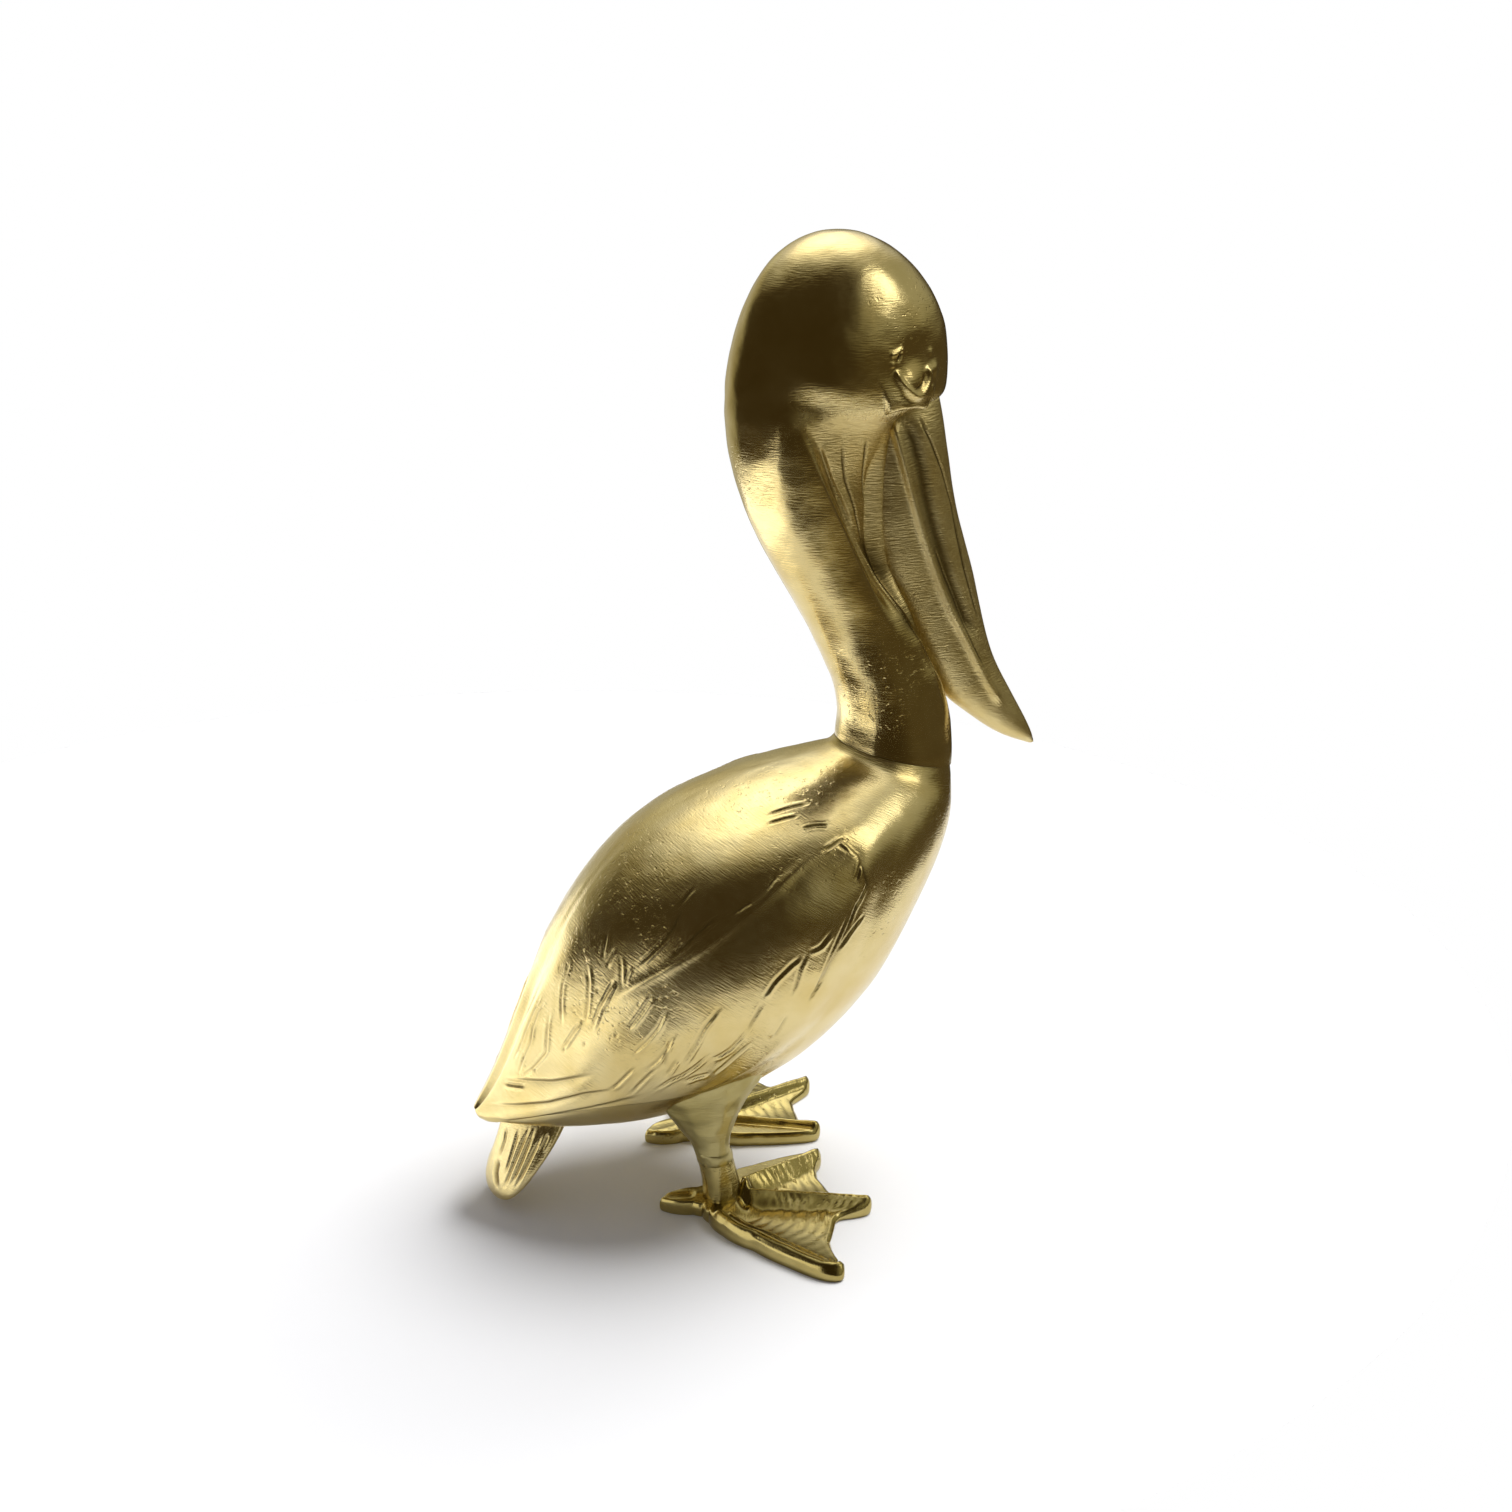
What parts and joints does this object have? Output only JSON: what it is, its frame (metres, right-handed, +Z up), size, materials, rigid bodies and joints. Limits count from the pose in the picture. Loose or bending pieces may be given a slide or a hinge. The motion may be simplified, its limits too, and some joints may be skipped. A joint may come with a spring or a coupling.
{
  "type": "pelican figurine",
  "caption": "Standing cast brass pelican figurine with folded wings, a long bill laid down its neck, short legs and webbed feet, hollow in pinned halves.",
  "frame": {"origin": "on the floor under the middle of the figurine's box, between the feet", "axes": "+X forward, the way the breast faces, +Y to the bird's left, +Z up; the soles lie at z = 0"},
  "size_m": [0.172, 0.142, 0.279],
  "materials": {
    "polished_brass": "polished casting with chased feather lines and darkened grooves",
    "cast_brass": "smooth buffed casting with fine pits and brush marks",
    "aged_brass": "buffed on top, darker and olive in the hollows",
    "pin_brass": "plain drawn rod and sheet, hidden inside"
  },
  "bodies": {
    "root": {"body_right_shell": "polished_brass", "body_left_shell": "polished_brass", "tail_fan": "polished_brass", "right_thigh": "polished_brass", "left_thigh": "polished_brass", "neck_right_shell": "cast_brass", "neck_left_shell": "cast_brass", "bill": "cast_brass", "right_leg_ring": "cast_brass", "left_leg_ring": "cast_brass", "right_shank": "aged_brass", "left_shank": "aged_brass", "right_foot": "aged_brass", "left_foot": "aged_brass", "neck_sleeve": "pin_brass", "bill_pins": "pin_brass", "tail_pins": "pin_brass", "body_seam_dowels": "pin_brass", "neck_seam_dowels": "pin_brass", "leg_dowels": "pin_brass"}
  },
  "joints": []
}
